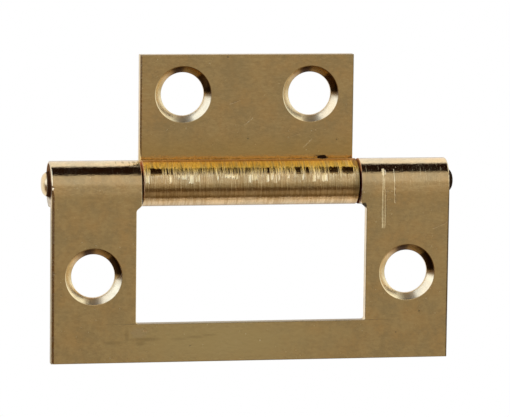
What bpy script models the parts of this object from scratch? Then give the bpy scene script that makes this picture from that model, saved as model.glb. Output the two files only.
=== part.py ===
"""A flush hinge: a windowed frame leaf, a short leaf that nests in the window, and the pin between them.

The hinge stands open flat. +X runs along the pin, +Z from the frame leaf to the short leaf, and +Y out
of the leaves' backs, so that the countersinks face -Y. The origin is on the short leaf's back face,
between its holes. Each object's own origin is on the pin's axis. Sizes here are in millimetres, and the
scene is in metres.
"""

import math
from dataclasses import dataclass

import bmesh
import bpy
from mathutils import Matrix, Vector

MM = 0.001
TURN = 2.0 * math.pi
KNUCKLE_STEPS = 72
PIN_STEPS = 64
HOLE_STEPS = 64
WELD = 0.001


@dataclass(frozen=True)
class HingeSizes:
    """The sizes that drive the hinge, in millimetres."""

    sheet_thickness: float = 1.2
    pin_diameter: float = 3.1
    pin_clearance: float = 0.1
    pin_end_height: float = 0.95
    frame_width: float = 50.0
    frame_length: float = 22.0
    arm_width: float = 10.55
    bar_width: float = 4.85
    knuckle_end_gap: float = 0.3
    window_side_gap: float = 0.95
    window_end_gap: float = 1.4
    window_step_start: float = 2.35
    window_step_height: float = 0.85
    window_corner_radius: float = 0.35
    curl_gap: float = 0.18
    screw_hole_diameter: float = 5.4
    countersink_diameter: float = 7.0
    frame_hole_margin: float = 10.8
    short_hole_margin: float = 4.95
    short_hole_inset: float = 5.45
    edge_break: float = 0.12

    @property
    def bore_radius(self) -> float:
        """The inside radius of every knuckle."""
        return self.pin_diameter / 2 + self.pin_clearance

    @property
    def knuckle_radius(self) -> float:
        """The outside radius of every knuckle."""
        return self.bore_radius + self.sheet_thickness

    @property
    def window_half(self) -> float:
        """Half the width of the frame leaf's window."""
        return self.frame_width / 2 - self.arm_width

    @property
    def window_bottom(self) -> float:
        """How far the window's far edge is from the pin's axis."""
        return self.frame_length - self.bar_width

    @property
    def short_half(self) -> float:
        """Half the width of the short leaf and of its knuckle."""
        return self.window_half - self.window_side_gap

    @property
    def short_length(self) -> float:
        """How far the short leaf's free edge is from the pin's axis."""
        return self.window_bottom - self.window_end_gap

    @property
    def knuckle_half(self) -> float:
        """Half the space between the frame leaf's two knuckles."""
        return self.short_half + self.knuckle_end_gap

    @property
    def frame_hole(self) -> tuple[float, float]:
        """The frame leaf's right screw hole: half-way across its arm, and below the pin's axis."""
        return (self.frame_width / 2 - self.arm_width / 2, self.frame_hole_margin - self.frame_length)

    @property
    def short_hole(self) -> tuple[float, float]:
        """The short leaf's right screw hole: across from the middle, and above the pin's axis."""
        return (self.short_half - self.short_hole_inset, self.short_length - self.short_hole_margin)


@dataclass(frozen=True)
class Brass:
    """One piece's plain finish."""

    name: str
    colour: tuple[float, float, float]
    roughness: float

    def material(self) -> bpy.types.Material:
        """Makes the Principled material.

        Returns:
            The new material.
        """
        made = bpy.data.materials.new(self.name)
        made.use_nodes = True
        shader = made.node_tree.nodes["Principled BSDF"]
        shader.inputs["Base Color"].default_value = (*self.colour, 1.0)
        shader.inputs["Metallic"].default_value = 1.0
        shader.inputs["Roughness"].default_value = self.roughness
        made.diffuse_color = (*self.colour, 1.0)
        return made


def clear_scene() -> None:
    """Removes every object of the startup scene."""
    for obj in list(bpy.data.objects):
        bpy.data.objects.remove(obj, do_unlink=True)


def solid_object(name: str, work: bmesh.types.BMesh):
    """Turns a closed form into an object of the scene.

    Args:
        name: the object's name.
        work: the form, which is freed.

    Returns:
        The new object, with outward faces.
    """
    bmesh.ops.recalc_face_normals(work, faces=work.faces[:])
    mesh = bpy.data.meshes.new(name)
    work.to_mesh(mesh)
    work.free()
    made = bpy.data.objects.new(name, mesh)
    bpy.context.scene.collection.objects.link(made)
    return made


def extruded(name: str, outline: list[tuple[float, float, float]], travel: tuple[float, float, float]):
    """Makes a solid by extruding a flat outline along a straight line.

    Args:
        name: the object's name.
        outline: the corners in order, in millimetres.
        travel: the way and distance the outline moves, in millimetres.

    Returns:
        The new object.
    """
    work = bmesh.new()
    section = work.faces.new([work.verts.new(Vector(point) * MM) for point in outline])
    grown = bmesh.ops.extrude_face_region(work, geom=[section])["geom"]
    moved = [item for item in grown if isinstance(item, bmesh.types.BMVert)]
    bmesh.ops.translate(work, verts=moved, vec=Vector(travel) * MM)
    return solid_object(name, work)


def turned(name: str, profile: list[tuple[float, float]], steps: int, place: Matrix):
    """Makes a solid by spinning a profile about its own axis.

    Args:
        name: the object's name.
        profile: (distance along the axis, radius) pairs in millimetres, from one end to the other.
        steps: how many flats go round.
        place: turns the axis, which starts along +Z, and moves the solid, in metres.

    Returns:
        The new object.
    """
    ends = [(profile[0][0], 0.0), *profile, (profile[-1][0], 0.0)]
    work = bmesh.new()
    chain = [work.verts.new((radius * MM, 0.0, along * MM)) for along, radius in ends]
    line = [work.edges.new(pair) for pair in zip(chain, chain[1:])]
    bmesh.ops.spin(
        work,
        geom=chain + line,
        axis=(0.0, 0.0, 1.0),
        cent=(0.0, 0.0, 0.0),
        angle=TURN,
        steps=steps,
        use_merge=True,
    )
    bmesh.ops.remove_doubles(work, verts=work.verts[:], dist=WELD * MM)
    bmesh.ops.transform(work, matrix=place, verts=work.verts[:])
    return solid_object(name, work)


def rolled_outline(
    sizes: HingeSizes, length: float, side: float, start: float
) -> list[tuple[float, float, float]]:
    """Draws the section of a leaf: a flat that runs into a knuckle rolled round the pin.

    Args:
        sizes: the hinge's sizes.
        length: how far the flat's free edge is from the pin's axis.
        side: 1 for the leaf that goes down with its flat in front, -1 for the one that goes up behind.
        start: where the section stands along the pin.

    Returns:
        The section's corners in order, in millimetres from the pin's axis.
    """
    outer = sizes.knuckle_radius
    inner = sizes.bore_radius
    last = TURN - math.acos((inner - sizes.curl_gap) / outer)
    steps = round(KNUCKLE_STEPS * last / TURN)
    points = [(outer, -length)]
    for index in range(steps + 1):
        angle = last * index / steps
        points.append((outer * math.cos(angle), outer * math.sin(angle)))
    for index in range(steps, -1, -1):
        angle = last * index / steps
        points.append((inner * math.cos(angle), inner * math.sin(angle)))
    points.append((inner, -length))
    return [(start, -side * front, side * up) for front, up in points]


def window_outline(sizes: HingeSizes) -> list[tuple[float, float, float]]:
    """Draws the frame leaf's window with the wider knuckle ends above it.

    Args:
        sizes: the hinge's sizes.

    Returns:
        The window's corners in order, in millimetres from the pin's axis, behind the hinge.
    """
    corner = sizes.window_corner_radius
    half = sizes.window_half
    bottom = -sizes.window_bottom
    top = sizes.knuckle_radius + 1.0
    step = half - sizes.knuckle_half
    right = []
    for index in range(9):
        angle = -math.pi / 2 + index * math.pi / 16
        right.append((half - corner + corner * math.cos(angle), bottom + corner + corner * math.sin(angle)))
    for index in range(9):
        share = index / 8
        across = half - step * (1 - math.cos(math.pi * share)) / 2
        up = -sizes.window_step_start - sizes.window_step_height * (1 - share)
        right.append((across, up))
    right.append((sizes.knuckle_half, top))
    outline = right + [(-across, up) for across, up in reversed(right)]
    return [(across, 2 * sizes.knuckle_radius, up) for across, up in outline]


def countersunk_cutter(sizes: HingeSizes, across: float, front: float, up: float):
    """Makes the tool that cuts one screw hole.

    Args:
        sizes: the hinge's sizes.
        across: the hole's place along the pin.
        front: the Y of the face that the screw's head sinks into, from the pin's axis.
        up: the hole's height over the pin's axis.

    Returns:
        The cutter, hidden from renders.
    """
    hole = sizes.screw_hole_diameter / 2
    sink = sizes.countersink_diameter / 2
    depth = sink - hole
    profile = [(-1.0, sink + 1.0), (depth, hole), (sizes.sheet_thickness + 1.0, hole)]
    place = Matrix.Translation((across * MM, front * MM, up * MM)) @ Matrix.Rotation(-math.pi / 2, 4, "X")
    return turned("hole_cutter", profile, HOLE_STEPS, place)


def cut(piece, cutters: list) -> None:
    """Cuts the tools out of a piece and removes them.

    Args:
        piece: the object that is cut.
        cutters: the objects that are taken out of it.
    """
    for cutter in cutters:
        cutter.hide_render = True
        cutter.display_type = "WIRE"
        difference = piece.modifiers.new("cut", "BOOLEAN")
        difference.operation = "DIFFERENCE"
        difference.solver = "EXACT"
        difference.object = cutter
    graph = bpy.context.evaluated_depsgraph_get()
    result = bpy.data.meshes.new_from_object(piece.evaluated_get(graph))
    piece.modifiers.clear()
    piece.data = result
    for cutter in cutters:
        bpy.data.objects.remove(cutter, do_unlink=True)


def finish_edges(piece, sizes: HingeSizes) -> None:
    """Breaks a sheet's square edges and shades its round faces smooth.

    Args:
        piece: the object whose edges are broken.
        sizes: the hinge's sizes.
    """
    work = bmesh.new()
    work.from_mesh(piece.data)
    bmesh.ops.remove_doubles(work, verts=work.verts[:], dist=WELD * MM)
    bmesh.ops.dissolve_limit(work, angle_limit=math.radians(0.2), verts=work.verts[:], edges=work.edges[:])
    square = [
        edge
        for edge in work.edges
        if len(edge.link_faces) == 2 and edge.calc_face_angle() > math.radians(60)
    ]
    bmesh.ops.bevel(
        work,
        geom=square,
        offset=sizes.edge_break * MM,
        offset_type="OFFSET",
        segments=1,
        profile=0.5,
        affect="EDGES",
        clamp_overlap=True,
    )
    for face in work.faces:
        face.smooth = True
    for edge in work.edges:
        edge.smooth = len(edge.link_faces) == 2 and edge.calc_face_angle() < math.radians(30)
    work.to_mesh(piece.data)
    work.free()


def frame_leaf(sizes: HingeSizes):
    """Makes the wide leaf: a sheet with a window, two knuckles and a screw hole in each arm.

    Args:
        sizes: the hinge's sizes.

    Returns:
        The leaf.
    """
    half = sizes.frame_width / 2
    section = rolled_outline(sizes, sizes.frame_length, 1, -half)
    leaf = extruded("frame_leaf", section, (sizes.frame_width, 0.0, 0.0))
    window = extruded("window_cutter", window_outline(sizes), (0.0, -4 * sizes.knuckle_radius, 0.0))
    across, up = sizes.frame_hole
    holes = [countersunk_cutter(sizes, side * across, -sizes.knuckle_radius, up) for side in (-1, 1)]
    cut(leaf, [window, *holes])
    finish_edges(leaf, sizes)
    return leaf


def short_leaf(sizes: HingeSizes):
    """Makes the narrow leaf: a sheet with one long knuckle and two screw holes.

    Args:
        sizes: the hinge's sizes.

    Returns:
        The leaf.
    """
    section = rolled_outline(sizes, sizes.short_length, -1, -sizes.short_half)
    leaf = extruded("short_leaf", section, (2 * sizes.short_half, 0.0, 0.0))
    across, up = sizes.short_hole
    holes = [countersunk_cutter(sizes, side * across, sizes.bore_radius, up) for side in (-1, 1)]
    cut(leaf, holes)
    finish_edges(leaf, sizes)
    return leaf


def hinge_pin(sizes: HingeSizes):
    """Makes the pin, whose domed ends stand just out of the knuckles.

    Args:
        sizes: the hinge's sizes.

    Returns:
        The pin.
    """
    radius = sizes.pin_diameter / 2
    half = sizes.frame_width / 2
    dome = []
    for index in range(9):
        angle = math.pi / 2 * index / 9
        dome.append((half + sizes.pin_end_height * math.sin(angle), radius * math.cos(angle)))
    profile = [(-along, ring) for along, ring in reversed(dome)] + dome
    pin = turned("hinge_pin", profile, PIN_STEPS, Matrix.Rotation(math.pi / 2, 4, "Y"))
    for face in pin.data.polygons:
        face.use_smooth = True
    pin.data.set_sharp_from_angle(angle=math.radians(40))
    return pin


def main() -> None:
    """Builds the hinge."""
    clear_scene()
    sizes = HingeSizes()
    axis = bpy.data.objects.new("pin_axis", None)
    axis.empty_display_size = 0.005
    axis.location = (0.0, -sizes.knuckle_radius * MM, -sizes.short_hole[1] * MM)
    bpy.context.scene.collection.objects.link(axis)
    finishes = (
        (frame_leaf(sizes), Brass("frame_leaf_brass", (0.58, 0.45, 0.24), 0.28)),
        (short_leaf(sizes), Brass("short_leaf_brass", (0.6, 0.46, 0.24), 0.28)),
        (hinge_pin(sizes), Brass("hinge_pin_brass", (0.62, 0.5, 0.3), 0.25)),
    )
    for piece, brass in finishes:
        piece.parent = axis
        piece.data.materials.clear()
        piece.data.materials.append(brass.material())


main()
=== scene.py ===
"""The looks of a brass flush hinge: two rolled sheet leaves and a pin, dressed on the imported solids.

The hinge stands open flat with its countersinks towards -Y. Sizes are in millimetres from the pin's axis:
x along the pin, y out of the leaves' backs and z up. They turn into metres where a mesh takes them.
"""

import logging
import math
from collections.abc import Callable
from dataclasses import dataclass, field
from enum import Enum
from functools import reduce

import bmesh
import bpy
from mathutils import Matrix, Vector


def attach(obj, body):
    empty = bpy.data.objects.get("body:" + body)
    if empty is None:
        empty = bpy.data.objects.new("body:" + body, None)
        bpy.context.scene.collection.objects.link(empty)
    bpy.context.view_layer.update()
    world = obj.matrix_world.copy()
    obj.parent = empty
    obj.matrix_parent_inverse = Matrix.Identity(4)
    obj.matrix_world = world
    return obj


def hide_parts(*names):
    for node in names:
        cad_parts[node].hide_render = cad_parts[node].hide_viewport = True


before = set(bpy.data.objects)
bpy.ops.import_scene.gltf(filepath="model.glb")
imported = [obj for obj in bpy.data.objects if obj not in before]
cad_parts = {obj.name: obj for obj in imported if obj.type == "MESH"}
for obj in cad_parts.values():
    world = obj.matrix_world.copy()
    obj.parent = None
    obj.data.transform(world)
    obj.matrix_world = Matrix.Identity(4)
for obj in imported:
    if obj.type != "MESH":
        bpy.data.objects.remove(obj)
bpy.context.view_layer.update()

LOG = logging.getLogger("flush_hinge")
MM = 0.001
TURN = 2.0 * math.pi
ORIGIN = (0.0, 0.0, 0.0)
ALONG_PIN = (1.0, 0.0, 0.0)
# In millimetres: what is welded, what counts as touching, and how far a cutting tool stands out.
WELD = 0.0005
NEAR = 0.01
OVERSHOOT = 1.0

Colour = tuple[float, float, float]
Point = tuple[float, float]
Socket = bpy.types.NodeSocket
Outputs = dict[str, Socket]


class Side(Enum):
    """Which way a leaf's flat leaves the pin."""

    DOWN_IN_FRONT = 1
    UP_BEHIND = -1


class Mark(Enum):
    """A face attribute that a finish reads."""

    SHEARED = "sheared"
    SUNK = "sunk"
    SHADED = "shaded"
    # Painted shade: the darkest side of a countersink, painted near black.
    DARKEST_SHADE = "darkest_shade"
    DULLED = "dulled"
    FACING = "facing"


# The sides of a countersink that each mark lies on: degrees right of straight up, and how much weaker it is.
# The shaded and darkest marks carry painted shade on a countersink's upper sides; the dulled mark only
# roughens it.
SINK_SIDES = {
    Mark.SHADED: ((22.0, 0.0),),
    Mark.DARKEST_SHADE: ((64.0, 0.0), (-11.0, 0.04)),
    Mark.DULLED: ((180.0, 0.0),),
}


@dataclass(frozen=True)
class Sheet:
    """The rolled sheet that both leaves are pressed from."""

    thickness: float = 1.2
    knuckle_radius: float = 2.85
    curl_gap: float = 0.18
    curl_steps: int = 180
    axis_y: float = -2.85
    axis_z: float = -10.8

    @property
    def bore_radius(self) -> float:
        """The inside radius of a knuckle."""
        return self.knuckle_radius - self.thickness

    @property
    def curl_angle(self) -> float:
        """How far round the pin the sheet is rolled, in radians."""
        return TURN - math.acos((self.bore_radius - self.curl_gap) / self.knuckle_radius)

    @property
    def axis(self) -> Vector:
        """A point on the pin's axis, in metres."""
        return Vector((0.0, self.axis_y, self.axis_z)) * MM


@dataclass(frozen=True)
class Rounding:
    """How far each kind of edge is rounded. The die roll starts within a blend's length of the knuckle."""

    die_roll: float = 0.42
    barrel_end: float = 0.16
    rim: float = 0.07
    other: float = 0.07
    blend: float = 1.2
    blend_steps: int = 8
    steps: int = 5
    square_from: float = 38.0


@dataclass(frozen=True)
class ScrewHole:
    """A countersunk hole, placed by its distance across from the middle and up from the pin's axis."""

    across: float
    up: float
    bore: float = 5.4
    sink: float = 7.0
    steps: int = 128

    def cutter(self, front: float, thickness: float) -> bpy.types.Object:
        """Spins the tool that cuts the hole.

        Args:
            front: the y of the face that the screw's head sinks into.
            thickness: the sheet's thickness.

        Returns:
            The cutter.
        """
        bore, sink, end = self.bore / 2, self.sink / 2, thickness + OVERSHOOT
        cone = [(-OVERSHOOT, 0.0), (-OVERSHOOT, sink + OVERSHOOT), (sink - bore, bore)]
        work = spun_profile(cone + [(end, bore), (end, 0.0)], self.steps)
        turn = Matrix.Rotation(math.pi / 2, 3, "Z")
        bmesh.ops.rotate(work, cent=ORIGIN, matrix=turn, verts=work.verts)
        bmesh.ops.translate(work, vec=Vector((self.across, front, self.up)) * MM, verts=work.verts)
        return solid_object("hole_cutter", work)


def spun_profile(profile: list[Point], steps: int) -> bmesh.types.BMesh:
    """Spins a profile about the x axis into a closed solid.

    Args:
        profile: (along x, radius) pairs that start and end on the axis.
        steps: how many flats go round.

    Returns:
        The solid, in metres.
    """
    work = bmesh.new()
    points = [work.verts.new((along * MM, 0.0, radius * MM)) for along, radius in profile]
    swept = points + [work.edges.new(pair) for pair in zip(points, points[1:])]
    turn = {"axis": ALONG_PIN, "cent": ORIGIN, "angle": TURN}
    bmesh.ops.spin(work, geom=swept, steps=steps, use_merge=True, **turn)
    bmesh.ops.remove_doubles(work, verts=work.verts[:], dist=WELD * MM)
    return work


def new_corners(grown: list[object]) -> list[bmesh.types.BMVert]:
    """Picks the corners out of what an extrusion gave."""
    return [item for item in grown if isinstance(item, bmesh.types.BMVert)]


def solid_object(name: str, work: bmesh.types.BMesh) -> bpy.types.Object:
    """Turns a closed form into an object with outward faces.

    Args:
        name: the object's name.
        work: the form, which is freed.

    Returns:
        The new object.
    """
    bmesh.ops.recalc_face_normals(work, faces=work.faces[:])
    mesh = bpy.data.meshes.new(name)
    work.to_mesh(mesh)
    work.free()
    made = bpy.data.objects.new(name, mesh)
    bpy.context.scene.collection.objects.link(made)
    return made


def keep_modifiers(piece: bpy.types.Object) -> None:
    """Makes what a piece's modifiers give its own mesh.

    Args:
        piece: the object.
    """
    graph = bpy.context.evaluated_depsgraph_get()
    before = piece.data
    shaped = bpy.data.meshes.new_from_object(piece.evaluated_get(graph))
    piece.modifiers.clear()
    piece.data = shaped
    bpy.data.meshes.remove(before)
    shaped.name = piece.name


def cut_away(piece: bpy.types.Object, cutters: list[bpy.types.Object]) -> None:
    """Cuts tools out of a piece and removes them.

    Args:
        piece: the object that is cut.
        cutters: the tools.
    """
    for cutter in cutters:
        difference = piece.modifiers.new("cut", "BOOLEAN")
        difference.operation = "DIFFERENCE"
        difference.solver = "EXACT"
        difference.object = cutter
    keep_modifiers(piece)
    for cutter in cutters:
        bpy.data.meshes.remove(cutter.data)


class Links:
    """A short way to wire one node tree. A value is an output of another node, or a plain value."""

    def __init__(self, tree: bpy.types.NodeTree) -> None:
        """Keeps the tree that new nodes go into."""
        self.tree = tree

    def feed(self, target: Socket, value: object) -> None:
        """Gives an input its value.

        Args:
            target: the input.
            value: its value.
        """
        if isinstance(value, bpy.types.NodeSocket):
            self.tree.links.new(value, target)
        else:
            target.default_value = value

    def node(self, kind: str, *values: object, **settings: object) -> bpy.types.Node:
        """Adds a node.

        Args:
            kind: the node's type name.
            values: what goes into its inputs, from the first on.
            settings: properties to set on it.

        Returns:
            The new node.
        """
        made = self.tree.nodes.new(kind)
        for key, value in settings.items():
            setattr(made, key, value)
        for target, value in zip(made.inputs, values):
            self.feed(target, value)
        return made

    def math(self, operation: str, *values: object, clamp: bool = False) -> Socket:
        """Adds a Math node, whose result can be clamped to 0 to 1."""
        return self.node("ShaderNodeMath", *values, operation=operation, use_clamp=clamp).outputs[0]

    def total(self, *values: object) -> Socket:
        """Adds up several values."""
        return reduce(lambda first, second: self.math("ADD", first, second), values)

    def product(self, *values: object) -> Socket:
        """Multiplies several values."""
        return reduce(lambda first, second: self.math("MULTIPLY", first, second), values)

    def less(self, first: object, second: object) -> Socket:
        """Takes the second value from the first."""
        return self.math("SUBTRACT", first, second)

    def fading(self, distance: object, reach: object) -> Socket:
        """Gives 1 at no distance and 0 from the reach on."""
        return self.math("SUBTRACT", 1.0, self.math("DIVIDE", distance, reach), clamp=True)

    def hypotenuse(self, first: object, second: object) -> Socket:
        """Gives the length of a step along two axes."""
        return self.math("SQRT", self.total(self.product(first, first), self.product(second, second)))

    def vector(self, operation: str, *values: object) -> Socket:
        """Adds a Vector Math node and gives its vector."""
        return self.node("ShaderNodeVectorMath", *values, operation=operation).outputs["Vector"]

    def measure(self, operation: str, *values: object) -> Socket:
        """Adds a Vector Math node and gives its number."""
        return self.node("ShaderNodeVectorMath", *values, operation=operation).outputs["Value"]

    def stretched(self, place: object, scale: object) -> Socket:
        """Scales a position apart from its origin along each axis."""
        return self.vector("MULTIPLY", place, scale)

    def parts(self, place: object) -> tuple[Socket, ...]:
        """Splits a position into x, y and z."""
        return tuple(self.node("ShaderNodeSeparateXYZ", place).outputs)

    def smooth(
        self, value: object, low: object, high: object, start: float = 0.0, end: float = 1.0
    ) -> Socket:
        """Adds a smooth step that gives start where the value is low, and end where it is high."""
        made = self.node("ShaderNodeMapRange", value, low, high, start, end)
        made.interpolation_type = "SMOOTHSTEP"
        return made.outputs["Result"]

    def noise(self, place: object, scale: object, detail: float = 2.0, roughness: float = 0.5) -> Socket:
        """Adds a Noise Texture of so many features to the millimetre, with finer layers of a roughness."""
        return self.node("ShaderNodeTexNoise", place, 0.0, scale, detail, roughness).outputs["Fac"]

    def mark(self, mark: Mark) -> Socket:
        """Reads a face attribute."""
        return self.node("ShaderNodeAttribute", attribute_name=mark.value).outputs["Fac"]

    def mix(self, share: object, first: object, second: object) -> Socket:
        """Mixes two colours.

        Args:
            share: the second colour's share.
            first: the first colour.
            second: the second colour.

        Returns:
            The mixed colour.
        """
        made = self.node("ShaderNodeMix", data_type="RGBA")
        inputs = {socket.identifier: socket for socket in made.inputs}
        self.feed(inputs["Factor_Float"], share)
        for name, colour in (("A_Color", first), ("B_Color", second)):
            self.feed(inputs[name], (*colour, 1.0) if isinstance(colour, tuple) else colour)
        return next(socket for socket in made.outputs if socket.identifier == "Result_Color")


class Effect:
    """A shader node group with named inputs and outputs."""

    def __init__(self, name: str, wire: Callable[..., Outputs], **inputs: object) -> None:
        """Makes the group.

        Args:
            name: the group's name.
            wire: takes the group's links and its inputs, and gives its outputs by name.
            inputs: each input's name and starting value, where None is a position.
        """
        self.tree = bpy.data.node_groups.new(name, "ShaderNodeTree")
        for label, value in inputs.items():
            kind = "NodeSocketVector" if value is None or isinstance(value, tuple) else "NodeSocketFloat"
            made = self.tree.interface.new_socket(label, in_out="INPUT", socket_type=kind)
            if value is not None:
                made.default_value = value
        links = Links(self.tree)
        given = links.node("NodeGroupInput").outputs
        results = wire(links, *(given[label] for label in inputs))
        for label in results:
            self.tree.interface.new_socket(label, in_out="OUTPUT", socket_type="NodeSocketFloat")
        taken = links.node("NodeGroupOutput").inputs
        for label, result in results.items():
            links.feed(taken[label], result)

    def add(self, links: Links, **values: object) -> bpy.types.NodeOutputs:
        """Puts the group into a material.

        Args:
            links: the material's tree.
            values: what goes into its inputs, by their names.

        Returns:
            Its outputs.
        """
        made = links.node("ShaderNodeGroup", node_tree=self.tree)
        for label, value in values.items():
            links.feed(made.inputs[label], value)
        return made.outputs


class BrassEffects:
    """The surface effects that the brass finishes share."""

    def __init__(self) -> None:
        """Builds each group once."""
        ends = {"start": ORIGIN, "end": ALONG_PIN}
        sides = {"left": 0.0, "right": 1.0, "low": 0.0, "high": 1.0}
        sizes = {"centre": ORIGIN, "reach": (1.0, 1.0, 1.0)}
        self.mottle = Effect("tarnish_mottle", self._mottle, place=None, blots=0.35, fine=1.6)
        self.grain = Effect("rolling_grain", self._grain, place=None, stretch=(0.12, 1.0, 5.0), scale=1.0)
        self.pits = Effect("pits", self._pits, place=None, count=0.9, size=0.12, spread=0.3)
        self.scratch = Effect("scratch", self._scratch, place=None, **ends, half_width=0.06)
        self.patch = Effect("patch", self._patch, place=None, **sides, soft=0.06, fade=0.15, teeth=4.5)
        self.streaks = Effect("rolling_streaks", self._streaks, place=None, broad=3.0, fine=10.0, length=0.35)
        self.stain_or_light = Effect("stain_or_light", self._ragged_patch, place=None, **sizes, ragged=0.35, full=0.75)
        self.burr = Effect("sheared_wall", self._burr, place=None, fine=5.0)

    @staticmethod
    def _mottle(links: Links, place: Socket, blots: Socket, fine: Socket) -> Outputs:
        """Cloudy tarnish: a warm share and a dull share, in soft blots with a finer layer."""
        moved = links.vector("ADD", place, (41.0, 17.0, 5.0))
        broad = links.noise(place, blots, 3.0, 0.55)
        other = links.noise(moved, blots)
        small = links.noise(moved, fine, 3.0, 0.6)
        warm = links.total(links.product(broad, 0.6), links.product(small, 0.4))
        dull = links.total(links.product(other, 0.5), links.product(small, 0.5))
        return {"warm": links.smooth(warm, 0.38, 0.62), "dull": links.smooth(dull, 0.36, 0.66)}

    @staticmethod
    def _grain(links: Links, place: Socket, stretch: Socket, scale: Socket) -> Outputs:
        """Rolling grain: long fine ridges, drawn out by the stretch."""
        return {"height": links.noise(links.stretched(place, stretch), scale, 3.0, 0.6)}

    @staticmethod
    def _pits(links: Links, place: Socket, count: Socket, size: Socket, spread: Socket) -> Outputs:
        """Small round pits, kept only where a slow noise allows them."""
        cells = links.node("ShaderNodeTexVoronoi", place, 0.0, count, feature="F1").outputs
        reach = links.product(size, links.parts(cells["Color"])[0])
        allowed = links.smooth(links.noise(place, spread, 1.0), 0.45, 0.6)
        return {"mask": links.product(links.fading(cells["Distance"], reach), allowed)}

    @staticmethod
    def _scratch(links: Links, place: Socket, start: Socket, end: Socket, half_width: Socket) -> Outputs:
        """One straight scratch: a groove, 1 at its middle and 0 past its half width."""
        along = links.vector("SUBTRACT", end, start)
        offset = links.vector("SUBTRACT", place, start)
        passed, length = (links.measure("DOT_PRODUCT", step, along) for step in (offset, along))
        nearest = links.stretched(along, links.math("DIVIDE", passed, length, clamp=True))
        wobble = links.smooth(links.noise(place, 2.2), 0.3, 0.6, 0.45, 1.2)
        apart = links.measure("DISTANCE", offset, nearest)
        return {"groove": links.fading(apart, links.product(half_width, wobble))}

    @staticmethod
    def _patch(links: Links, place: Socket, *sockets: Socket) -> Outputs:
        """A soft box in x and z: its mask, and a comb of ramps that rise to the right by one to one."""
        left, right, low, high, soft, fade, teeth = sockets
        x, _, z = links.parts(place)
        mask = 1.0
        ragged = links.noise(links.stretched(place, (7.0, 0.4, 0.4)), 1.0, 1.0)
        for value, start, width in ((x, left, soft), (right, x, soft), (z, low, fade), (high, z, fade)):
            inside = links.less(value, start)
            if width is fade:
                inside = links.total(inside, links.product(links.less(ragged, 0.5), fade, 3.0))
            mask = links.product(links.math("DIVIDE", inside, width, clamp=True), mask)
        shift = links.product(links.noise(links.stretched(place, (1.6, 0.1, 0.1)), 1.0, 1.0), 4.0)
        tooth = links.math("FRACT", links.total(links.product(x, teeth), shift))
        return {"mask": mask, "comb": links.product(mask, links.math("DIVIDE", tooth, teeth))}

    @staticmethod
    def _streaks(links: Links, place: Socket, broad: Socket, fine: Socket, length: Socket) -> Outputs:
        """Streaks that a rolling tool leaves round a knuckle: broad ones with fine ones between."""
        layers = []
        for count, share in ((broad, 0.35), (fine, 0.25)):
            stretch = links.node("ShaderNodeCombineXYZ", count, length, length).outputs[0]
            drawn = links.noise(links.stretched(place, stretch), 1.0, 1.0)
            layers.append(links.product(links.less(drawn, 0.5), share))
        return {"height": links.total(*layers)}

    @staticmethod
    def _ragged_patch(links: Links, place: Socket, *sockets: Socket) -> Outputs:
        """One ragged patch of colour, for a spot, a smear, painted shade or a painted sheen: 1 inside, over
        an ellipse about its centre with half sizes of its reach.
        """
        centre, reach, ragged, full = sockets
        apart = links.vector("DIVIDE", links.vector("SUBTRACT", place, centre), reach)
        shift = links.product(links.less(links.noise(place, 3.0, 3.0, 0.6), 0.5), ragged, 2.0)
        return {"mask": links.smooth(links.total(links.measure("LENGTH", apart), shift), 1.1, full)}

    @staticmethod
    def _burr(links: Links, place: Socket, fine: Socket) -> Outputs:
        """The torn look of a sheared wall: streaks through the sheet's thickness."""
        return {"height": links.noise(links.stretched(place, (1.0, 0.18, 1.0)), fine, 3.0, 0.65)}


@dataclass(frozen=True)
class Scratch:
    """A scratch on a leaf: where it starts and ends, across and up, and how wide and deep it is."""

    start: Point
    end: Point
    half_width: float = 0.045
    depth: float = 0.01


@dataclass(frozen=True)
class Rub:
    """A rubbed patch: its sides, the slope that it leans right by and its ridges' height."""

    left: float
    right: float
    low: float
    high: float
    slope: float = 0.0
    ridge: float = 0.0
    soft: float = 0.06


@dataclass(frozen=True)
class StainOrPaintedLight:
    """A spot or smear, or a patch of painted shade or painted sheen: its middle and half sizes, across and
    up, the brass that it hides and its looks.

    The patch is full within a share of its half sizes. Its depth is its middle and half size along y.
    """

    middle: Point
    reach: Point
    share: float = 0.6
    colour: Colour = (0.03, 0.015, 0.008)
    full: float = 0.75
    rough: float = 0.25
    depth: Point = (0.0, 1000.0)


@dataclass(frozen=True)
class ShadeAndLightRing:
    """A ring round the pin whose colour hides the metal: painted shade in the gaps and round the pin, painted
    light on some end walls and faces, and the darkened right end of the pin. It gives where the ring starts
    and is full along x, and how far and low it reaches.
    """

    start: float
    full: float
    radius: float
    colour: Colour
    lowest: float = -9.0
    both_ends: bool = True


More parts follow.
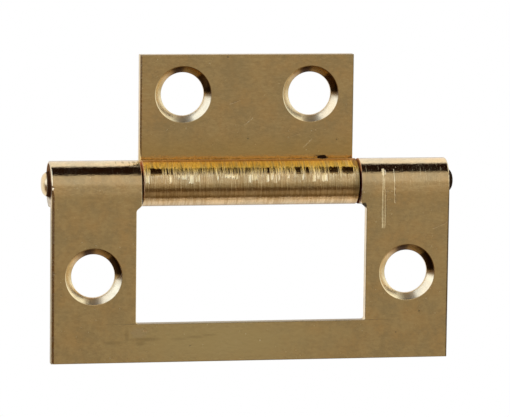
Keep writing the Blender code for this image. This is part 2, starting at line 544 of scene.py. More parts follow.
@dataclass(frozen=True)
class BrassFinish:
    """Bright rolled brass with the marks of one piece, and the light and shade painted into its colour."""

    name: str
    tint: Colour = (0.98, 0.765, 0.41)
    warm: Colour = (1.0, 0.715, 0.35)
    dull: Colour = (0.70, 0.57, 0.32)
    # Also painted shade, on the upper sides of the countersinks.
    grime_and_shade: Colour = (0.28, 0.17, 0.055)
    # Painted shade: near black on a countersink's darkest side.
    sink_shade: Colour = (0.03, 0.012, 0.005)
    pit: Colour = (0.22, 0.13, 0.05)
    # Painted reflection: the orange that the knuckle's top mirrors from the flat.
    knuckle_reflection: Colour = (0.99, 0.54, 0.065)
    # Painted reflection: the warm light that the flat's foot mirrors from the knuckle.
    foot_reflection: Colour = (0.84, 0.58, 0.20)
    worn: Colour = (0.56, 0.36, 0.12)
    # Painted shade along the seam; the next colour is its darker line.
    seam_shade: Colour = (0.69, 0.37, 0.085)
    seam_shade_line: Colour = (0.54, 0.22, 0.02)
    roughness: float = 0.13
    grain_height: float = 0.0012
    peel_height: float = 0.02
    pit_depth: float = 0.01
    burr_height: float = 0.03
    streak_height: float = 0.0
    streak_from: float = 0.7
    streak_to: float = 1.5
    streak_least: float = 0.1
    seam: bool = False
    ease: float = 0.0
    scratches: tuple[Scratch, ...] = ()
    rubs: tuple[Rub, ...] = ()
    ring_shading: tuple[ShadeAndLightRing, ...] = ()
    stains_and_painted_light: tuple[StainOrPaintedLight, ...] = ()

    def material(self, effects: BrassEffects, hole: ScrewHole | None = None) -> bpy.types.Material:
        """Builds the material.

        Args:
            effects: the shared node groups.
            hole: the right one of two mirrored screw holes, if the piece has them.

        Returns:
            The new material.
        """
        made = bpy.data.materials.new(self.name)
        made.use_nodes = True
        made.diffuse_color = (*self.tint, 1.0)
        surface = Surface(self, effects, Links(made.node_tree))
        surface.weather()
        surface.tool()
        if self.seam:
            surface.colour_seam()
        surface.paint_rings_and_stains()
        surface.cut(hole)
        surface.shade(made.node_tree.nodes["Principled BSDF"].inputs)
        return made


class Surface:
    """A brass surface while it is wired: its looks so far, with its height in millimetres."""

    def __init__(self, finish: BrassFinish, effects: BrassEffects, links: Links) -> None:
        """Starts with bare brass, and reads what several marks share.

        Args:
            finish: what it becomes.
            effects: the shared node groups.
            links: the material's tree.
        """
        self.finish, self.effects, self.links = finish, effects, links
        self.colour, self.rough, self.height, self.metal = finish.tint, finish.roughness, 0.0, 1.0
        # Made before the coordinates: with these two nodes in the other order, the short leaf rendered black.
        mapping = links.node("ShaderNodeMapping")
        links.feed(mapping.inputs["Vector"], links.node("ShaderNodeTexCoord").outputs["Object"])
        mapping.inputs["Scale"].default_value = (1 / MM, 1 / MM, 1 / MM)
        mapping.inputs["Location"].default_value = (0.0, -Sheet.axis_y, -Sheet.axis_z)
        self.place = mapping.outputs[0]
        self.x, self.y, self.z = links.parts(self.place)
        self.apart = links.math("ABSOLUTE", self.x)
        self.facing = links.mark(Mark.FACING)
        self.rolled = links.smooth(self.y, 1.2, 0.8)
        self.streaks = self.read(effects.streaks)["height"]

    def read(self, effect: Effect, **values: object) -> bpy.types.NodeOutputs:
        """Adds an effect, which is read at the surface's own place unless another is given."""
        return effect.add(self.links, **{"place": self.place, **values})

    def paint(self, share: object, colour: Colour) -> None:
        """Lays another colour over a share of it."""
        self.colour = self.links.mix(share, self.colour, colour)

    def roughen(self, *factors: object) -> None:
        """Adds a product to its roughness."""
        self.rough = self.links.total(self.rough, self.links.product(*factors))

    def lift(self, *factors: object) -> None:
        """Adds a product to its height."""
        self.height = self.links.total(self.height, self.links.product(*factors))

    def weather(self) -> None:
        """Adds what lies all over the sheet: tarnish, pits, dull flecks, grain and an uneven polish."""
        links, finish, effects = self.links, self.finish, self.effects
        mottle = self.read(effects.mottle)
        pits = self.read(effects.pits, count=1.1, size=0.14, spread=0.35)["mask"]
        flecks = self.read(effects.pits, count=1.7, size=0.2, spread=0.45)["mask"]
        peel = self.read(effects.grain, stretch=(0.6, 1.0, 1.0), scale=2.4)["height"]
        shown = links.total(links.product(self.facing, 0.45), 0.25)
        self.paint(mottle["warm"], finish.warm)
        self.paint(links.product(mottle["dull"], shown), finish.dull)
        self.paint(links.product(pits, 0.55), finish.pit)
        self.lift(self.read(effects.grain)["height"], finish.grain_height)
        self.lift(links.less(peel, 0.5), finish.peel_height)
        self.lift(pits, -finish.pit_depth)
        self.roughen(mottle["dull"], 0.05)
        self.roughen(pits, 0.2)
        self.roughen(flecks, 0.45)

    def tool(self) -> None:
        """Adds what tools left: streaks round a knuckle, rubbed patches, an eased bend and scratches."""
        links, finish, z = self.links, self.finish, self.z
        ridges = 0.0
        if finish.streak_height:
            share = links.smooth(z, finish.streak_from, finish.streak_to, finish.streak_least)
            top = links.smooth(z, 1.95, 2.2, 1.0, 1.0 + 1.6 * finish.seam)
            ridges = links.product(self.rolled, share, top, finish.streak_height)
        for rub in finish.rubs:
            sides = {side: getattr(rub, side) for side in ("left", "right", "low", "high", "soft")}
            patch = self.read(self.effects.patch, **sides)
            self.lift(patch["comb"], self.facing, -rub.slope)
            ridges = links.total(ridges, links.product(patch["mask"], self.facing, rub.ridge))
        ridges = links.math("MAXIMUM", ridges, 0.0)
        self.lift(self.streaks, ridges)
        self.roughen(links.math("MINIMUM", ridges, 0.2), 0.5)
        if finish.ease:
            self.lift(links.smooth(z, -1.4, 1.0, 0.0, -finish.ease))
            self.roughen(links.smooth(z, 0.6, 1.4, 0.0, -0.05))
        flat = links.stretched(self.place, (1.0, 0.0, 1.0))
        for mark in finish.scratches:
            start, end = ((across, 0.0, up) for across, up in (mark.start, mark.end))
            sizes = {"start": start, "end": end, "half_width": mark.half_width}
            groove = self.read(self.effects.scratch, place=flat, **sizes)["groove"]
            self.lift(groove, self.facing, -mark.depth)

    def colour_seam(self) -> None:
        """Paints light and shade at the seam: a painted reflection of the flat on the top of the knuckle,
        painted shade along the seam, and a painted reflection of the knuckle on the foot of the flat, with a
        faint darker tint; the knuckle's streaks are also worn darker.
        """
        links, finish, y, z, rolled = self.links, self.finish, self.y, self.z, self.rolled
        foot = links.product(links.less(1.0, rolled), self.facing)
        seam_shade = links.product(links.smooth(y, -1.0, -0.82), links.smooth(z, 2.0, 2.3), rolled)
        # Painted reflection: the orange that the knuckle's top mirrors from the flat.
        self.paint(links.product(rolled, links.smooth(z, 0.9, 2.2)), finish.knuckle_reflection)
        self.roughen(links.smooth(z, 2.04, 2.3), rolled, 0.2)
        self.paint(links.product(links.smooth(self.streaks, -0.02, 0.05, 0.0, 0.45), rolled), finish.worn)
        # Painted shade along the seam, darker still in a line at its edge.
        self.paint(seam_shade, finish.seam_shade)
        self.paint(links.product(seam_shade, links.smooth(y, -0.38, -0.55)), finish.seam_shade_line)
        self.paint(links.product(foot, 0.07), finish.grime_and_shade)
        # Painted reflection: the knuckle's warm light on the foot of the flat.
        self.paint(links.product(links.smooth(z, 7.0, 2.7, 0.0, 0.6), foot), finish.foot_reflection)

    def paint_rings_and_stains(self) -> None:
        """Paints the rings of light and shade round the pin, which hide the metal, and then the spots, smears
        and patches of painted light and shade.
        """
        links, soft_ring, soft_low = self.links, 0.15, 0.3
        radius = links.hypotenuse(self.y, self.z)
        for ring_shading in self.finish.ring_shading:
            along = links.smooth(self.apart if ring_shading.both_ends else self.x, ring_shading.start, ring_shading.full)
            ring = links.smooth(radius, ring_shading.radius, ring_shading.radius - soft_ring)
            above = links.smooth(self.z, ring_shading.lowest - soft_low, ring_shading.lowest + soft_low)
            mask = links.product(along, ring, above)
            self.paint(mask, ring_shading.colour)
            self.roughen(mask, 0.7)
            self.metal = links.product(self.metal, links.less(1.0, mask))
        for stain_or_light in self.finish.stains_and_painted_light:
            centre = (stain_or_light.middle[0], stain_or_light.depth[0], stain_or_light.middle[1])
            reach = (stain_or_light.reach[0], stain_or_light.depth[1], stain_or_light.reach[1])
            over = self.read(self.effects.stain_or_light, centre=centre, reach=reach, full=stain_or_light.full)["mask"]
            over = links.product(over, self.facing, stain_or_light.share)
            self.paint(over, stain_or_light.colour)
            self.roughen(over, stain_or_light.rough)

    def cut(self, hole: ScrewHole | None) -> None:
        """Finishes the countersinks, with painted shade on their upper sides, the calm sheet beside them and
        the sheared walls.

        Args:
            hole: the right one of two mirrored screw holes, if the piece has them.
        """
        links = self.links
        # Painted shade: the countersinks' upper sides turn dark brown, and their darkest side near black.
        self.paint(links.smooth(links.mark(Mark.SHADED), 0.12, 0.55), self.finish.grime_and_shade)
        self.paint(links.smooth(links.mark(Mark.DARKEST_SHADE), 0.63, 0.67, 0.0, 0.92), self.finish.sink_shade)
        self.roughen(links.mark(Mark.SUNK), 0.06)
        self.roughen(links.smooth(links.mark(Mark.DULLED), 0.62, 0.7, 0.0, 0.14))
        if hole:
            away = links.hypotenuse(links.less(self.apart, hole.across), links.less(self.z, hole.up))
            self.height = links.product(self.height, links.smooth(away, 3.3, 4.3, 0.06))
        sheared = links.mark(Mark.SHEARED)
        self.lift(self.read(self.effects.burr)["height"], sheared, self.finish.burr_height)
        self.roughen(sheared, 0.16)

    def shade(self, inputs: bpy.types.NodeInputs) -> None:
        """Feeds the shader.

        Args:
            inputs: its inputs.
        """
        bump = self.links.node("ShaderNodeBump")
        bump.inputs["Distance"].default_value = MM
        self.links.feed(bump.inputs["Height"], self.height)
        for label, value in (
            ("Normal", bump.outputs[0]),
            ("Base Color", self.colour),
            ("Roughness", self.rough),
            ("Metallic", self.metal),
            ("Specular IOR Level", 0.0),
        ):
            self.links.feed(inputs[label], value)


@dataclass
class RolledLeaf:
    """A leaf: a flat of sheet whose end is rolled into a knuckle round the pin."""

    name: str
    body: str
    slot: str
    half_width: float
    length: float
    side: Side
    finish: BrassFinish
    holes: tuple[ScrewHole, ...]
    sheet: Sheet = field(default_factory=Sheet)
    rounding: Rounding = field(default_factory=Rounding)

    @property
    def front_y(self) -> float:
        """The y of the face that the screws' heads sink into."""
        if self.side is Side.DOWN_IN_FRONT:
            return -self.sheet.knuckle_radius
        return self.sheet.bore_radius

    def build(self, effects: BrassEffects) -> bpy.types.Object:
        """Builds and dresses the leaf.

        Args:
            effects: the shared node groups.

        Returns:
            The finished piece.
        """
        piece = solid_object(self.name + "_sheet", self._rolled())
        cutters = [hole.cutter(self.front_y, self.sheet.thickness) for hole in self.holes]
        cut_away(piece, cutters + self.extra_cutters())
        self._round_edges(piece)
        self._mark_faces(piece)
        piece.data.transform(Matrix.Translation(self.sheet.axis))
        weighted = piece.modifiers.new("flat_faces", "WEIGHTED_NORMAL")
        weighted.mode = "FACE_AREA"
        weighted.keep_sharp = True
        piece.data.materials.append(self.finish.material(effects, self.holes[-1]))
        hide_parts(self.name)
        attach(piece, self.body)
        return piece

    def extra_cutters(self) -> list[bpy.types.Object]:
        """The tools that cut more than the screw holes."""
        return []

    def _rolled(self) -> bmesh.types.BMesh:
        """Rolls the sheet: its free edge is drawn up to the pin, spun round it and drawn along it.

        Returns:
            The leaf before it is cut, with the pin's axis through the origin.
        """
        sheet, sign, rounding = self.sheet, self.side.value, self.rounding
        work = bmesh.new()
        ends = [
            work.verts.new(Vector((-self.half_width, -sign * depth, -sign * self.length)) * MM)
            for depth in (sheet.knuckle_radius, sheet.bore_radius)
        ]
        top = [work.edges.new(ends)]
        blend = [rounding.blend / rounding.blend_steps] * rounding.blend_steps
        for rise in [self.length - rounding.blend] + blend:
            grown = bmesh.ops.extrude_edge_only(work, edges=top)["geom"]
            raised = new_corners(grown)
            edges = [item for item in grown if isinstance(item, bmesh.types.BMEdge)]
            top = [edge for edge in edges if set(edge.verts) == set(raised)]
            bmesh.ops.translate(work, verts=raised, vec=(0.0, 0.0, sign * rise * MM))
        turn = {"axis": ALONG_PIN, "cent": ORIGIN, "angle": -sheet.curl_angle}
        bmesh.ops.spin(work, geom=raised + top, steps=sheet.curl_steps, **turn)
        bmesh.ops.remove_doubles(work, verts=work.verts[:], dist=WELD * MM)
        moved = new_corners(bmesh.ops.extrude_face_region(work, geom=work.faces[:])["geom"])
        bmesh.ops.translate(work, verts=moved, vec=(2 * self.half_width * MM, 0.0, 0.0))
        return work

    def _edge_rounding(self, edge: bmesh.types.BMEdge) -> float:
        """How far one edge is rounded.

        Args:
            edge: a square edge of the cut leaf.

        Returns:
            The width in millimetres.
        """
        rounding, is_front_leaf = self.rounding, self.side is Side.DOWN_IN_FRONT
        points = [vert.co / MM for vert in edge.verts]
        middle = (points[0] + points[1]) / 2
        radius = self.sheet.knuckle_radius
        on_knuckle = all(abs(math.hypot(point.y, point.z) - radius) < NEAR for point in points)
        at_front = all(abs(point.y - self.front_y) < NEAR for point in points)
        at_side = all(abs(abs(point.x) - self.half_width) < NEAR for point in points)
        flat = rounding.die_roll if middle.x < 0 else rounding.other
        knuckle = rounding.barrel_end if is_front_leaf else rounding.rim
        if at_side and on_knuckle:
            return flat if is_front_leaf and middle.y <= 0 and middle.z <= 0 else knuckle
        if at_side and at_front:
            share = min(1.0, abs(middle.z) / rounding.blend) if is_front_leaf else 1.0
            return knuckle + (flat - knuckle) * share
        return rounding.other

    def _round_edges(self, piece: bpy.types.Object) -> None:
        """Rounds the square edges, each by its own width.

        Args:
            piece: the cut leaf.
        """
        widest, square = self.rounding.die_roll, math.radians(self.rounding.square_from)
        work = bmesh.new()
        work.from_mesh(piece.data)
        bmesh.ops.remove_doubles(work, verts=work.verts[:], dist=WELD * MM)
        weight = work.edges.layers.float.new("bevel_weight_edge")
        for edge in work.edges:
            if len(edge.link_faces) == 2 and edge.calc_face_angle() > square:
                edge[weight] = self._edge_rounding(edge) / widest
        for face in work.faces:
            face.smooth = True
        work.to_mesh(piece.data)
        work.free()
        bevel = piece.modifiers.new("rounding", "BEVEL")
        bevel.limit_method = "WEIGHT"
        bevel.width = widest * MM
        bevel.segments = self.rounding.steps
        bevel.use_clamp_overlap = False
        bevel.loop_slide = False
        keep_modifiers(piece)

    @staticmethod
    def side_at(degrees: float) -> Vector:
        """The way from a screw hole's middle to its side at an angle to the right of straight up."""
        return Vector((math.sin(math.radians(degrees)), 0.0, math.cos(math.radians(degrees))))

    def _mark_faces(self, piece: bpy.types.Object) -> None:
        """Writes what cut each face and where it looks, for the finish to read.

        Args:
            piece: the rounded leaf, with the pin's axis through the origin.
        """
        faces = piece.data.polygons
        values = {mark: [0.0] * len(faces) for mark in Mark}
        for index, face in enumerate(faces):
            values[Mark.FACING][index] = float(face.normal.y < 0.2)
            cut = self._cut_by(face.center / MM, face.normal)
            if cut:
                values[cut][index] = 1.0
            # Sides that face down and to one side get the marks where painted shade goes.
            if cut is Mark.SUNK:
                for mark, sides in SINK_SIDES.items():
                    found = [-face.normal.dot(self.side_at(degrees)) - weaker for degrees, weaker in sides]
                    values[mark][index] = max(0.0, *found)
        for mark, numbers in values.items():
            layer = piece.data.attributes.new(mark.value, "FLOAT", "FACE")
            layer.data.foreach_set("value", numbers)

    def _cut_by(self, middle: Vector, normal: Vector) -> Mark | None:
        """Tells what cut one face.

        Args:
            middle: its middle, in millimetres from the pin's axis.
            normal: its normal.

        Returns:
            The mark, or None for the sheet's own faces and its rounded edges.
        """
        for hole in self.holes:
            if math.hypot(middle.x - hole.across, middle.z - hole.up) < hole.sink / 2 + NEAR:
                return None if abs(normal.y) > 0.95 else Mark.SUNK if abs(normal.y) > 0.3 else Mark.SHEARED
        on_flat = middle.z * self.side.value < 0 and abs(middle.y) > self.sheet.bore_radius - NEAR
        if not on_flat and math.hypot(middle.y, middle.z) < self.sheet.knuckle_radius + NEAR:
            return Mark.SHEARED if abs(normal.x) > 0.95 else None
        return Mark.SHEARED if abs(normal.y) < 0.2 else None


@dataclass
class ShortLeaf(RolledLeaf):
    """The leaf that nests in the other's window, with the one long knuckle."""


@dataclass
class FrameLeaf(RolledLeaf):
    """The wide leaf, with a knuckle at each end and a window between its arms."""

    window_half: float = 14.45
    window_bottom: float = 17.15
    window_corner: float = 0.35
    knuckle_half: float = 13.8
    step_start: float = 2.35
    step_height: float = 0.85
    corner_steps: int = 8

    def extra_cutters(self) -> list[bpy.types.Object]:
        """Makes the window's tool, which only passes the flat, and the tool for the gap between the knuckles.

        Returns:
            The two tools.
        """
        half, corner, sheet = self.window_half, self.window_corner, self.sheet
        right = []
        for index in range(self.corner_steps + 1):
            angle = math.pi / 2 * (index / self.corner_steps - 1)
            across = half - corner + corner * math.cos(angle)
            right.append((across, corner - self.window_bottom + corner * math.sin(angle)))
        step = half - self.knuckle_half
        for index in range(2 * self.corner_steps + 1):
            share = index / (2 * self.corner_steps)
            across = half - step * (1 - math.cos(math.pi * share)) / 2
            right.append((across, -self.step_start - self.step_height * (1 - share)))
        past, behind = sheet.knuckle_radius + OVERSHOOT, sheet.bore_radius - sheet.curl_gap / 2
        gap = [(self.knuckle_half, -sheet.knuckle_radius - sheet.curl_gap), (self.knuckle_half, past)]
        window = self._prism("window_cutter", right, -past, -behind)
        return [window, self._prism("gap_cutter", gap, -past, past)]

    @staticmethod
    def _prism(name: str, right: list[Point], near: float, far: float) -> bpy.types.Object:
        """Extrudes an outline and its mirror image through the sheet.

        Args:
            name: the tool's name.
            right: the right half of the outline, from its bottom up.
            near: the y where the tool starts.
            far: the y where it ends.

        Returns:
            The tool.
        """
        outline = right + [(-across, up) for across, up in reversed(right)]
        work = bmesh.new()
        corners = [work.verts.new(Vector((across, near, up)) * MM) for across, up in outline]
        grown = bmesh.ops.extrude_face_region(work, geom=[work.faces.new(corners)])["geom"]
        bmesh.ops.translate(work, verts=new_corners(grown), vec=(0.0, (far - near) * MM, 0.0))
        return solid_object(name, work)


@dataclass
class HingePin:
    """The pin, whose domed ends stand just out of the knuckles."""

    finish: BrassFinish
    name: str = "hinge_pin"
    body: str = "frame_leaf_body"
    slot: str = "hinge_pin_brass"
    radius: float = 1.55
    half_length: float = 25.0
    end_height: float = 0.95
    dome_fullness: float = 0.7
    dome_steps: int = 24
    steps: int = 128
    sheet: Sheet = field(default_factory=Sheet)

    def build(self, effects: BrassEffects) -> bpy.types.Object:
        """Builds and dresses the pin.

        Args:
            effects: the shared node groups.

        Returns:
            The finished piece.
        """
        dome = []
        for index in range(self.dome_steps + 1):
            angle = math.pi / 2 * index / self.dome_steps
            ring = self.radius * math.cos(angle) ** self.dome_fullness if index < self.dome_steps else 0.0
            dome.append((self.half_length + self.end_height * math.sin(angle), ring))
        profile = [(-along, ring) for along, ring in reversed(dome)] + dome
        work = spun_profile(profile, self.steps)
        bmesh.ops.translate(work, verts=work.verts[:], vec=self.sheet.axis)
        piece = solid_object(self.name + "_rod", work)
        piece.data.shade_smooth()
        piece.data.materials.append(self.finish.material(effects))
        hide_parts(self.name)
        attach(piece, self.body)
        return piece


@dataclass(frozen=True)
class PhotoCamera:
    """The camera at the photograph's angle, in degrees, and in millimetres from the pin's middle."""

    yaw: float = 10.62
    pitch: float = 7.5
    roll: float = -0.69
    distance: float = 425.14
    right: float = -0.789
    up: float = 3.291
    focal_pixels: float = 3420.69
    frame_pixels: float = 510.0
    sensor: float = 36.0

    def build(self, sheet: Sheet) -> bpy.types.Object:
        """Makes the scene's camera.

        Args:
            sheet: gives the pin's place.

        Returns:
            The camera.
        """
        yaw, pitch, roll = (math.radians(value) for value in (self.yaw, self.pitch, self.roll))
        turn = Matrix.Rotation(roll, 3, "Z") @ Matrix.Rotation(pitch, 3, "X") @ Matrix.Rotation(yaw, 3, "Y")
        to_hinge = Matrix(((1.0, 0.0, 0.0), (0.0, 0.0, -1.0), (0.0, 1.0, 0.0)))
        facing = to_hinge @ turn.transposed()
        offset = Vector((-self.right, -self.up, self.distance)) * MM
        data = bpy.data.cameras.new("photo_camera")
        data.sensor_fit = "HORIZONTAL"
        data.sensor_width = self.sensor
        data.lens = self.focal_pixels / self.frame_pixels * self.sensor
        data.clip_start = 0.01
        data.clip_end = 100.0
        made = bpy.data.objects.new("photo_camera", data)
        made.matrix_world = Matrix.Translation(sheet.axis + facing @ offset) @ facing.to_4x4()
        bpy.context.scene.collection.objects.link(made)
        bpy.context.scene.camera = made
        return made


@dataclass(frozen=True)
class Studio:
    """Soft light from a tent of white paper that is open in front, and a pale floor."""

    bands: tuple[tuple[float, Colour], ...] = (
        (-180.0, (0.14, 0.11, 0.08)),
        (-160.0, (0.36, 0.33, 0.32)),
        (-128.0, (0.68, 0.65, 0.68)),
        (-110.0, (0.76, 0.70, 0.74)),
        (-84.0, (0.74, 0.64, 0.62)),
        (-76.0, (0.12, 0.07, 0.02)),
        (-66.0, (0.10, 0.06, 0.02)),
        (-58.0, (0.26, 0.20, 0.14)),
        (-43.0, (0.27, 0.21, 0.16)),
        (-35.0, (0.08, 0.045, 0.015)),
        (-24.0, (0.08, 0.045, 0.015)),
        (-16.0, (0.27, 0.23, 0.17)),
        (-6.0, (0.29, 0.245, 0.18)),
        (4.0, (0.42, 0.37, 0.31)),
        (14.0, (0.49, 0.45, 0.42)),
        (44.0, (0.51, 0.47, 0.44)),
        (54.0, (0.012, 0.004, 0.001)),
        (97.0, (0.012, 0.004, 0.001)),
        (109.0, (0.93, 0.95, 1.10)),
        (165.0, (0.90, 0.92, 1.05)),
        (174.0, (0.45, 0.42, 0.38)),
        (180.0, (0.14, 0.11, 0.08)),
    )
    left_light: Colour = (1.10, 1.33, 2.0)
    left_back: Colour = (0.85, 0.88, 1.0)
    right_light: Colour = (1.08, 1.20, 1.42)
    right_low: Colour = (0.50, 0.43, 0.33)
    lower_left: Colour = (0.10, 0.055, 0.02)
    floor_height: float = -0.25
    floor_half: float = 5.0
    ramp_scale: float = 2.0

    def build(self) -> None:
        """Makes the world and the floor."""
        self._world()
        self._floor()
        bpy.context.scene.view_settings.view_transform = "Standard"

    def _world(self) -> None:
        """Builds the tent's light from the direction that it comes from: the bands, and then its sides."""
        world = bpy.data.worlds.new("studio_tent")
        world.use_nodes = True
        bpy.context.scene.world = world
        links = Links(world.node_tree)
        x, y, z = links.parts(links.node("ShaderNodeTexCoord").outputs["Generated"])
        angle = links.math("ARCTAN2", z, links.product(y, -1.0))
        ramp = links.node("ShaderNodeValToRGB", links.total(links.product(angle, 1 / TURN), 0.5))
        self._fill(ramp.color_ramp)
        colour = links.stretched(ramp.outputs[0], (self.ramp_scale,) * 3)
        cream = links.mix(links.smooth(z, -0.5, 0.3), self.right_low, self.right_light)
        sides = (
            (self.left_back, ((x, 0.12, -0.08), (y, 0.2, 0.5))),
            (self.lower_left, ((x, 0.05, -0.2), (z, 0.02, -0.07), (y, 0.12, -0.02))),
            (self.left_light, ((x, -0.08, -0.3), (z, -0.04, 0.1), (y, 0.1, -0.1))),
            (cream, ((x, 0.36, 0.5), (z, -0.7, -0.3), (y, 0.6, 0.4))),
        )
        for light, edges in sides:
            colour = links.mix(links.product(*(links.smooth(*edge) for edge in edges)), colour, light)
        seen = links.node("ShaderNodeLightPath").outputs["Is Camera Ray"]
        background = world.node_tree.nodes["Background"]
        links.feed(background.inputs["Color"], links.mix(seen, colour, (1.0, 1.0, 1.0)))

    def _fill(self, ramp: bpy.types.ColorRamp) -> None:
        """Gives the ramp the tent's bands, each divided by the ramp's scale.

        Args:
            ramp: the ramp, which goes from behind by way of below, front and above to behind again.
        """
        ramp.interpolation = "LINEAR"
        while len(ramp.elements) > 1:
            ramp.elements.remove(ramp.elements[-1])
        for index, (degrees, colour) in enumerate(self.bands):
            position = degrees / 360 + 0.5
            stop = ramp.elements.new(position) if index else ramp.elements[0]
            stop.position = position
            stop.color = (*(value / self.ramp_scale for value in colour), 1.0)

    def _floor(self) -> None:
        """Makes the pale floor, which the camera sees and the metal does not mirror."""
        work = bmesh.new()
        bmesh.ops.create_grid(work, x_segments=1, y_segments=1, size=self.floor_half)
        bmesh.ops.translate(work, verts=work.verts[:], vec=(0.0, 0.0, self.floor_height))
        floor = solid_object("pale_floor", work)
        paper = bpy.data.materials.new("pale_paper")
        paper.use_nodes = True
        shader = paper.node_tree.nodes["Principled BSDF"]
        shader.inputs["Base Color"].default_value = (0.0, 0.0, 0.0, 1.0)
        shader.inputs["Specular IOR Level"].default_value = 0.0
        shader.inputs["Emission Color"].default_value = (1.0, 1.0, 1.0, 1.0)
        shader.inputs["Emission Strength"].default_value = 1.0
        floor.data.materials.append(paper)
        floor.visible_glossy = False
        floor.visible_diffuse = False
        floor.visible_shadow = False


# Marks on the middle knuckle, along x: patches without streaks, and bright dashes with their lower ends.
CLEAN_PATCHES = (
    (-12.78, -11.25), (-10.76, -10.51), (-10.14, -9.89), (-1.77, -1.52), (0.93, 1.12), (1.31, 1.5),
    (1.87, 2.25), (5.46, 6.16), (6.72, 7.23), (9.69, 10.9), (11.34, 12.86),
)
BRIGHT_DASHES = (
    (-13.32, -12.89, 0.35), (-10.46, -10.09, 0.3), (-9.34, -8.97, 0.8), (-8.84, -8.22, 0.75),
    (-8.1, -7.41, 0.25), (-7.1, -6.6, 0.45), (-4.48, -4.23, 0.6), (-3.47, -2.72, 0.85),
    (-2.6, -1.85, 0.7), (-0.47, -0.22, 0.3), (-0.09, 0.66, 0.55), (1.73, 2.05, 0.35),
    (2.23, 2.55, 0.6), (2.67, 2.99, 0.2), (3.24, 3.43, 0.5), (4.37, 4.63, 0.7),
    (6.2, 6.45, 0.55), (7.53, 7.97, 0.3), (8.1, 8.48, 0.6), (8.73, 9.42, 0.35),
)

# Stains that come in numbers: x, z, half width, half height and share of each.
OLIVE = (0.30, 0.20, 0.05)
OLIVE_SPOTS = (
    (-16.86, 2.7, 0.1, 0.14, 0.5),
    (-15.98, 2.7, 0.24, 0.13, 0.5),
    (-15.17, 2.68, 0.12, 0.17, 0.5),
    (-14.6, 2.7, 0.32, 0.14, 0.55),
    (-14.0, 2.72, 0.25, 0.12, 0.6),
)
SMEAR = (0.16, 0.09, 0.03)
SMEARS = (
    (-13.3, -19.08, 2.5, 0.34, 0.25),
    (-8.9, -19.13, 1.3, 0.26, 0.17),
    (-7.1, -18.92, 1.6, 0.24, 0.2),
    (-5.4, -18.68, 1.3, 0.22, 0.17),
    (-17.3, -19.45, 1.6, 0.3, 0.2),
    (-15.6, -18.5, 0.4, 1.2, 0.2),
    (-13.9, -19.6, 0.8, 0.4, 0.24),
)


def stains_of(rows: tuple[tuple[float, ...], ...], colour: Colour, *look: float) -> list[StainOrPaintedLight]:
    """Makes stains of one colour from their rows, with the same fullness and roughness."""
    return [StainOrPaintedLight((x, z), (wide, high), share, colour, *look) for x, z, wide, high, share in rows]


FRAME_LEAF = FrameLeaf(
    name="frame_leaf",
    body="frame_leaf_body",
    slot="frame_leaf_brass",
    half_width=25.0,
    length=22.0,
    side=Side.DOWN_IN_FRONT,
    holes=(ScrewHole(-19.725, -11.2), ScrewHole(19.725, -11.2)),
    finish=BrassFinish(
        name="frame_leaf_brass",
        ease=0.1,
        streak_height=0.05,
        streak_from=-1.5,
        streak_to=0.6,
        streak_least=0.0,
        scratches=(
            Scratch((17.9, 1.7), (17.98, -0.4), 0.035, 0.008),
            Scratch((17.98, -0.4), (18.06, -2.4), 0.055, 0.018),
            Scratch((23.04, -5.72), (24.86, -4.95), 0.05, 0.01),
        ),
        rubs=(
            Rub(16.38, 16.9, 0.9, 1.8, 0.15, 0.12, 0.09),
            Rub(16.38, 16.94, -5.6, 0.95, 0.085, 0.03, 0.14),
            Rub(16.8, 16.94, -5.4, -0.6, 0.08, 0.02),
        ),
        ring_shading=(
            # Painted shade on both knuckles' outer end walls, round the pin.
            ShadeAndLightRing(24.9, 24.97, 2.65, (0.22, 0.10, 0.035), -1.6),
            # Painted shade on the outer knuckles' end walls that face the gaps.
            ShadeAndLightRing(13.87, 13.8, 3.0, (0.16, 0.035, 0.01)),
            # Painted light: the top of those end walls, lighter and orange.
            ShadeAndLightRing(13.9, 13.82, 3.0, (0.85, 0.34, 0.09), 1.5),
        ),
        stains_and_painted_light=(
            # Painted sheen: a broad pale patch over the middle of the bottom bar.
            StainOrPaintedLight((-4.0, -19.4), (18.0, 5.0), 1.0, (1.0, 0.83, 0.45), 0.1, 0.0),
            # Painted shadow: a dark line down the right edge.
            StainOrPaintedLight((25.0, -12.0), (0.2, 16.0), 0.85, (0.09, 0.045, 0.015)),
            StainOrPaintedLight((-25.0, -13.0), (0.16, 12.0), 0.4),
            # Painted shade at the left end, beside the pin.
            StainOrPaintedLight((-25.0, -0.4), (0.13, 1.2), 0.85, (0.06, 0.018, 0.005), 0.5),
            # Painted shade in the corner of the window's step, by the gap.
            StainOrPaintedLight((14.15, -2.75), (0.35, 0.4), 0.85),
            StainOrPaintedLight((0.0, -22.0), (29.0, 0.09), 0.6),
            # Painted shade on the window's bottom wall.
            StainOrPaintedLight((0.0, -17.15), (18.0, 0.08), 0.5),
            *stains_of(OLIVE_SPOTS, OLIVE, 0.3),
            StainOrPaintedLight((-14.1, -18.25), (1.3, 0.8), 0.25, (0.80, 0.70, 0.50), 0.5),
            *stains_of(SMEARS, SMEAR, 0.2, 0.0),
            StainOrPaintedLight((-13.35, -18.0), (0.3, 0.14), 0.4, (1.0, 0.62, 0.25)),
            StainOrPaintedLight((-7.67, -19.99), (0.09, 0.09), 0.6),
            StainOrPaintedLight((21.36, -16.12), (0.13, 0.13), 0.5),
            StainOrPaintedLight((18.42, -18.76), (0.12, 0.1), 0.5),
        ),
    ),
)

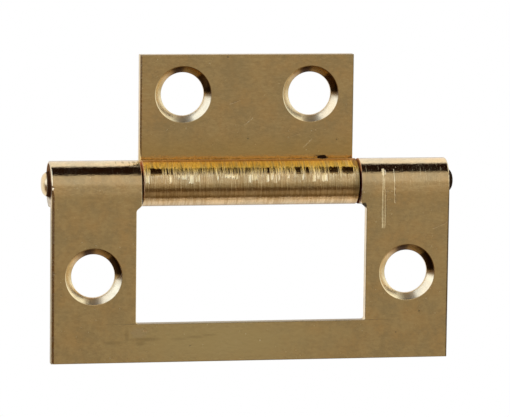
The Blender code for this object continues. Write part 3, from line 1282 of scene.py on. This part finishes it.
SHORT_LEAF = ShortLeaf(
    name="short_leaf",
    body="short_leaf_body",
    slot="short_leaf_brass",
    half_width=13.5,
    length=15.75,
    side=Side.UP_BEHIND,
    holes=(ScrewHole(-8.05, 10.8), ScrewHole(8.05, 10.8)),
    rounding=Rounding(die_roll=0.3),
    finish=BrassFinish(
        name="short_leaf_brass",
        seam=True,
        peel_height=0.018,
        streak_height=0.2,
        streak_least=0.4,
        scratches=(
            Scratch((-2.17, 9.55), (-0.82, 10.08)),
            Scratch((-0.33, 6.95), (0.75, 7.83)),
            Scratch((7.24, 4.13), (8.29, 5.17)),
            Scratch((5.67, 5.47), (6.75, 5.9), depth=0.008),
        ),
        rubs=(
            *(Rub(left, right, 1.18, 2.15, 0.0, -0.2) for left, right in CLEAN_PATCHES),
            *(Rub(left, right, low, 1.29, 0.3) for left, right, low in BRIGHT_DASHES),
        ),
        ring_shading=(
            # Painted shade on the knuckle's right end wall, in the gap.
            ShadeAndLightRing(13.44, 13.5, 3.0, (0.20, 0.06, 0.015), -1.7, both_ends=False),
            # Painted light: the knuckle's left end wall, pale orange.
            ShadeAndLightRing(-13.44, -13.5, 3.0, (0.92, 0.52, 0.18), -1.7, both_ends=False),
        ),
        stains_and_painted_light=(
            StainOrPaintedLight((9.63, 2.84), (0.7, 0.32), 1.0, depth=(1.65, 0.6)),
            StainOrPaintedLight((9.4, 2.65), (0.7, 0.5), 1.0, depth=(0.7, 1.15)),
            # Painted shade on the knuckle's right end, beside the gap.
            StainOrPaintedLight((13.6, -0.2), (1.1, 2.6), 0.55, (0.20, 0.13, 0.03), 0.3, 0.1),
            # Painted shade at the top of the right gap.
            StainOrPaintedLight((13.3, 2.45), (0.55, 0.42), 0.6, (0.25, 0.09, 0.02)),
            StainOrPaintedLight((13.5, 10.0), (0.13, 7.5), 0.6),
            StainOrPaintedLight((-2.5, 15.45), (0.14, 0.1), 0.6),
            StainOrPaintedLight((0.15, 5.24), (0.1, 0.1), 0.6),
            StainOrPaintedLight((11.45, 5.06), (0.08, 0.1), 0.6),
        ),
    ),
)

HINGE_PIN = HingePin(
    finish=BrassFinish(
        name="hinge_pin_brass",
        roughness=0.28,
        ring_shading=(
            # Painted shade round the pin where it leaves the left knuckle.
            ShadeAndLightRing(-25.45, -25.3, 9.0, (0.08, 0.03, 0.01), both_ends=False),
            # Darkens the pin's right end, past the knuckle, nearly black.
            ShadeAndLightRing(25.15, 25.3, 9.0, (0.035, 0.02, 0.01), both_ends=False),
        ),
    )
)


def main() -> None:
    """Builds the hinge's looks and its studio."""
    effects = BrassEffects()
    for part in (FRAME_LEAF, SHORT_LEAF, HINGE_PIN):
        piece = part.build(effects)
        LOG.info("%s: %d faces", piece.name, len(piece.data.polygons))
    PhotoCamera().build(Sheet())
    Studio().build()


if __name__ == "__main__":
    logging.basicConfig(level=logging.INFO)
    main()
